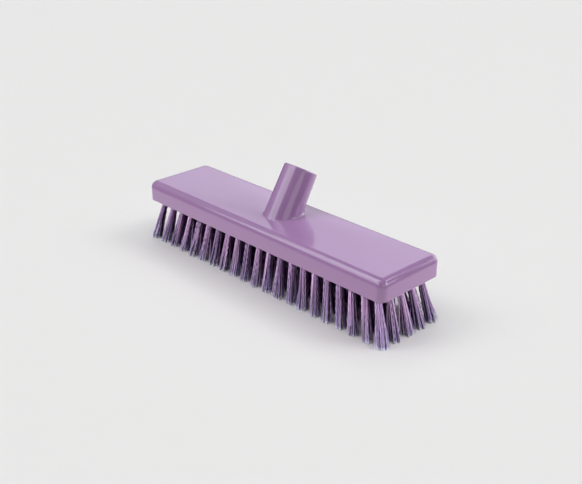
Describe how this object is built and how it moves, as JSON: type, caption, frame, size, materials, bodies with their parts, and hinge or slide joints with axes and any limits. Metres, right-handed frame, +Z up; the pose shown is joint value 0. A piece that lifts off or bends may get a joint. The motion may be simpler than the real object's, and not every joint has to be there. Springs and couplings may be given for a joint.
{
  "type": "floor scrub brush",
  "caption": "Long floor scrub brush head: a moulded block with a leaning, threaded handle socket on top and rows of fanned synthetic bristle tufts underneath.",
  "frame": {"origin": "on the floor at the bristle tips, under the middle of the block", "axes": "+X along the block's length, +Y towards the side that the handle socket leans to, +Z up out of the block's top"},
  "size_m": [0.3111, 0.0757, 0.1065],
  "materials": {
    "block_plastic": "satin moulded polypropylene",
    "bristle_filament": "extruded polyester filament",
    "anchor_steel": "drawn stainless wire"
  },
  "bodies": {
    "root": {"brush_block": "block_plastic", "front_tufts": "bristle_filament", "middle_tufts": "bristle_filament", "rear_tufts": "bristle_filament", "anchor_strip_01": "anchor_steel", "anchor_strip_02": "anchor_steel", "anchor_strip_03": "anchor_steel", "anchor_strip_04": "anchor_steel", "anchor_strip_05": "anchor_steel", "anchor_strip_06": "anchor_steel", "anchor_strip_07": "anchor_steel", "anchor_strip_08": "anchor_steel", "anchor_strip_09": "anchor_steel", "anchor_strip_10": "anchor_steel", "anchor_strip_11": "anchor_steel", "anchor_strip_12": "anchor_steel", "anchor_strip_13": "anchor_steel", "anchor_strip_14": "anchor_steel", "anchor_strip_15": "anchor_steel", "anchor_strip_16": "anchor_steel", "anchor_strip_17": "anchor_steel", "anchor_strip_18": "anchor_steel", "anchor_strip_19": "anchor_steel", "anchor_strip_20": "anchor_steel", "anchor_strip_21": "anchor_steel"}
  },
  "joints": []
}
